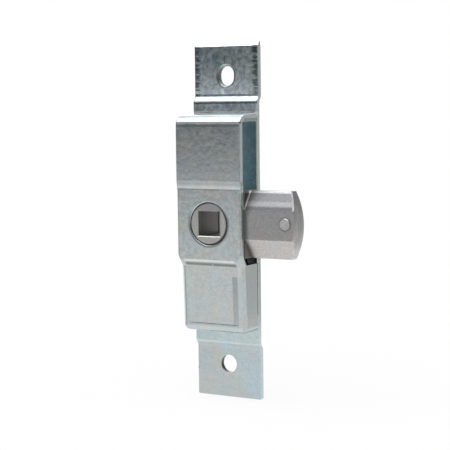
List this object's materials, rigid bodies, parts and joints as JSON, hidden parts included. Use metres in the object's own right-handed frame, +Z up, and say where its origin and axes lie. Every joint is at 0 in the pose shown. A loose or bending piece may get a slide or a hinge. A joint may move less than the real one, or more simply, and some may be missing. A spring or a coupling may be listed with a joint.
{
  "type": "square key lock",
  "caption": "Rim lock of pressed steel with a bolt that swings out of the case to either side, turned by a loose square key and screwed to a door through lugs at its ends.",
  "frame": {"origin": "on the mounting plane behind the lugs, midway between the two fixing holes and on the bolt's axis", "axes": "+X to the right seen from the front, the way the bolt is thrown; -Y out of the front of the lock; +Z up along the plate"},
  "size_m": [0.0467, 0.0154, 0.127],
  "materials": {
    "plate_steel": "zinc plate over pressed strip, mottled satin with a faint blue-green cast",
    "case_steel": "zinc plate over pressed sheet, mottled satin with a faint blue-green cast",
    "bolt_casting": "fine-grained casting, plated, satin warm grey",
    "spring_steel": "tempered strip, oiled"
  },
  "bodies": {
    "lock_body": {"back_plate": "plate_steel", "case": "case_steel", "detent_spring": "spring_steel"},
    "bolt": {"bolt": "bolt_casting"}
  },
  "joints": [
    {"name": "bolt_swing", "type": "hinge", "parent": "lock_body", "child": "bolt", "pos_m": [0, -0.008, 0], "axis": [0, -1, 0], "range_deg": [0, 180], "deforming": ["detent_spring"]}
  ]
}
